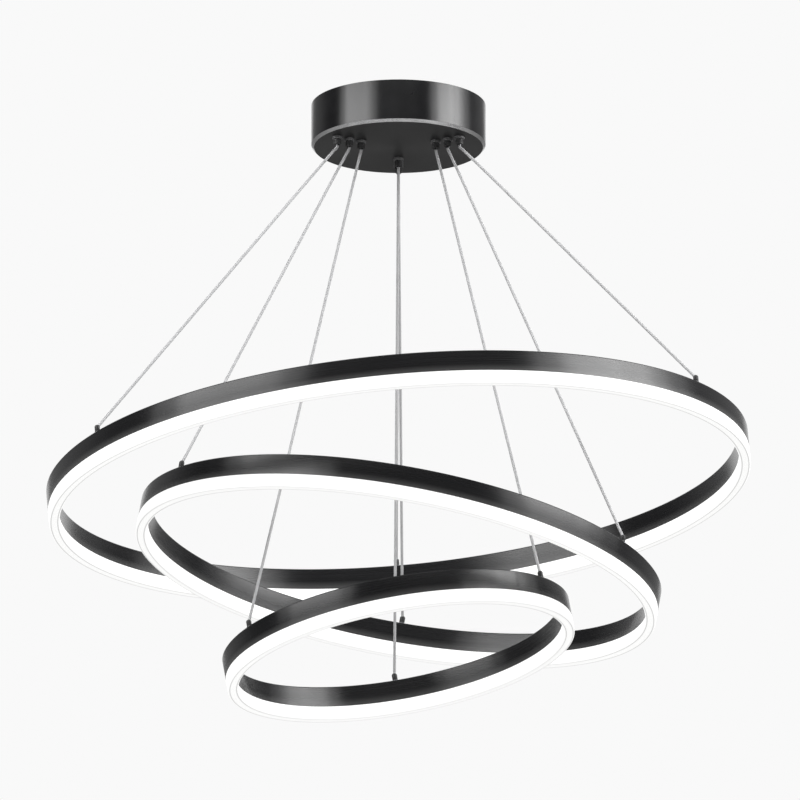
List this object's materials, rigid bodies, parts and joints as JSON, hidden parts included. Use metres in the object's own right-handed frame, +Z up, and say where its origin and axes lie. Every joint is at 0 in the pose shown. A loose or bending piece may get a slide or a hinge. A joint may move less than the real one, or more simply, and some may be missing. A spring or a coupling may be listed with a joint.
{
  "type": "led ring chandelier",
  "caption": "Ceiling chandelier of tilted black LED rings with white diffusers, hung one below another on straight wires from a round canopy with cable grippers.",
  "frame": {"origin": "centre of the ceiling face, where the bracket and the canopy's rim meet the ceiling", "axes": "+Z up into the ceiling, +X to the right and +Y away from the viewer of the picture; the rings tilt about Y"},
  "size_m": [0.8002, 0.8, 0.6975],
  "materials": {
    "black_metal": "satin black lacquer on spun steel",
    "black_metal_small": "satin black",
    "black_channel": "black anodised, fine brushed",
    "collar_metal": "dark satin nickel",
    "plunger_metal": "black nickel plated",
    "zinc_steel": "zinc plated",
    "screw_steel": "bright plated",
    "brass": "bare",
    "bar_aluminium": "mill finish",
    "diffuser": "opal, lit from inside",
    "wire_sheath": "clear sheath on tinned strands",
    "strip": "white flexible board",
    "chip": "yellow phosphor",
    "white_plastic": "moulded",
    "case_plastic": "moulded, fine texture",
    "board": "green board",
    "component": "moulded",
    "lead_sheath": "insulated lead"
  },
  "bodies": {
    "canopy": {"ceiling_bracket": "zinc_steel", "canopy_cup": "black_metal", "canopy_set_screws": "screw_steel", "terminal_block": "white_plastic", "terminal_block_screws": "screw_steel", "driver_case": "case_plastic", "driver_cover": "case_plastic", "driver_board": "board", "driver_components": "component", "driver_screws": "screw_steel", "mains_leads": "lead_sheath", "output_leads": "lead_sheath", "gripper_bodies": "black_metal_small", "gripper_collars": "collar_metal", "gripper_locknuts": "zinc_steel", "gripper_springs": "screw_steel", "wire_tails": "wire_sheath", "wire_stops": "brass", "wire_large_left": "wire_sheath", "wire_large_right": "wire_sheath", "wire_large_back": "wire_sheath", "wire_middle_left": "wire_sheath", "wire_middle_right": "wire_sheath", "wire_middle_back": "wire_sheath", "wire_small_left": "wire_sheath", "wire_small_right": "wire_sheath", "wire_small_back": "wire_sheath"},
    "ring_large": {"large_channel": "black_channel", "large_diffuser": "diffuser", "large_led_strip": "strip", "large_led_chips": "chip", "large_splice_bar": "bar_aluminium", "large_splice_screws": "screw_steel", "large_terminals": "black_metal_small", "large_terminal_nuts": "zinc_steel"},
    "ring_middle": {"middle_channel": "black_channel", "middle_diffuser": "diffuser", "middle_led_strip": "strip", "middle_led_chips": "chip", "middle_splice_bar": "bar_aluminium", "middle_splice_screws": "screw_steel", "middle_terminals": "black_metal_small", "middle_terminal_nuts": "zinc_steel"},
    "ring_small": {"small_channel": "black_channel", "small_diffuser": "diffuser", "small_led_strip": "strip", "small_led_chips": "chip", "small_splice_bar": "bar_aluminium", "small_splice_screws": "screw_steel", "small_terminals": "black_metal_small", "small_terminal_nuts": "zinc_steel"},
    "plunger_large_left": {"plunger_large_left": "plunger_metal"},
    "plunger_large_right": {"plunger_large_right": "plunger_metal"},
    "plunger_large_back": {"plunger_large_back": "plunger_metal"},
    "plunger_middle_left": {"plunger_middle_left": "plunger_metal"},
    "plunger_middle_right": {"plunger_middle_right": "plunger_metal"},
    "plunger_middle_back": {"plunger_middle_back": "plunger_metal"},
    "plunger_small_left": {"plunger_small_left": "plunger_metal"},
    "plunger_small_right": {"plunger_small_right": "plunger_metal"},
    "plunger_small_back": {"plunger_small_back": "plunger_metal"}
  },
  "joints": [
    {"name": "ring_large_height", "type": "slide", "parent": "canopy", "child": "ring_large", "axis": [0, 0, 1], "range_m": [0, 0.2], "deforming": ["wire_large_left", "wire_large_right", "wire_large_back"]},
    {"name": "ring_middle_height", "type": "slide", "parent": "canopy", "child": "ring_middle", "axis": [0, 0, 1], "range_m": [0, 0.12], "deforming": ["wire_middle_left", "wire_middle_right", "wire_middle_back"]},
    {"name": "ring_small_height", "type": "slide", "parent": "canopy", "child": "ring_small", "axis": [0, 0, 1], "range_m": [0, 0.2], "deforming": ["wire_small_left", "wire_small_right", "wire_small_back"]},
    {"name": "release_large_left", "type": "slide", "parent": "canopy", "child": "plunger_large_left", "axis": [0, 0, 1], "range_m": [0, 0.0013], "stiffness_N_per_m": 300, "springref_m": -0.002},
    {"name": "release_large_right", "type": "slide", "parent": "canopy", "child": "plunger_large_right", "axis": [0, 0, 1], "range_m": [0, 0.0013], "stiffness_N_per_m": 300, "springref_m": -0.002},
    {"name": "release_large_back", "type": "slide", "parent": "canopy", "child": "plunger_large_back", "axis": [0, 0, 1], "range_m": [0, 0.0013], "stiffness_N_per_m": 300, "springref_m": -0.002},
    {"name": "release_middle_left", "type": "slide", "parent": "canopy", "child": "plunger_middle_left", "axis": [0, 0, 1], "range_m": [0, 0.0013], "stiffness_N_per_m": 300, "springref_m": -0.002},
    {"name": "release_middle_right", "type": "slide", "parent": "canopy", "child": "plunger_middle_right", "axis": [0, 0, 1], "range_m": [0, 0.0013], "stiffness_N_per_m": 300, "springref_m": -0.002},
    {"name": "release_middle_back", "type": "slide", "parent": "canopy", "child": "plunger_middle_back", "axis": [0, 0, 1], "range_m": [0, 0.0013], "stiffness_N_per_m": 300, "springref_m": -0.002},
    {"name": "release_small_left", "type": "slide", "parent": "canopy", "child": "plunger_small_left", "axis": [0, 0, 1], "range_m": [0, 0.0013], "stiffness_N_per_m": 300, "springref_m": -0.002},
    {"name": "release_small_right", "type": "slide", "parent": "canopy", "child": "plunger_small_right", "axis": [0, 0, 1], "range_m": [0, 0.0013], "stiffness_N_per_m": 300, "springref_m": -0.002},
    {"name": "release_small_back", "type": "slide", "parent": "canopy", "child": "plunger_small_back", "axis": [0, 0, 1], "range_m": [0, 0.0013], "stiffness_N_per_m": 300, "springref_m": -0.002}
  ]
}
